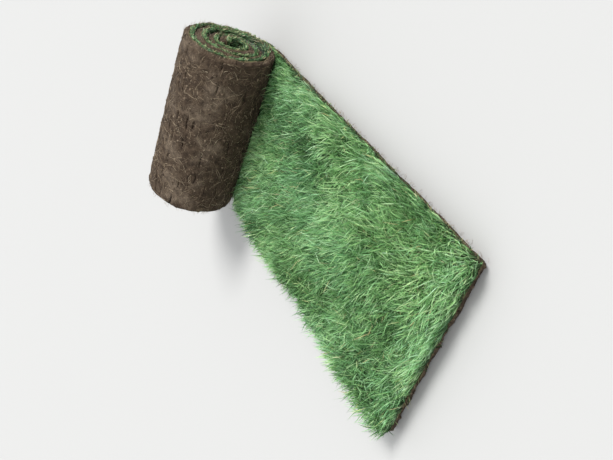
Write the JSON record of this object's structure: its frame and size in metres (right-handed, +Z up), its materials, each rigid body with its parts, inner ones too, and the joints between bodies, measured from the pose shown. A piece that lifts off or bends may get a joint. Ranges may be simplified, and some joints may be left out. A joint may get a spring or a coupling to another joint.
{
  "type": "roll of turf",
  "caption": "Strip of lawn turf, partly unrolled: a mat of soil and roots with standing grass, laid flat at its free end and wound up grass inwards at the other.",
  "frame": {"origin": "centre of the flat underside of the unrolled length, on the ground", "axes": "+X along the strip, away from the roll and towards the free end; +Y across the strip; +Z up, out of the grass"},
  "size_m": [0.946, 0.406, 0.252],
  "materials": {
    "soil": "matte",
    "grass": "matte"
  },
  "bodies": {
    "root": {"root_mat": "soil", "grass": "grass"}
  },
  "joints": []
}
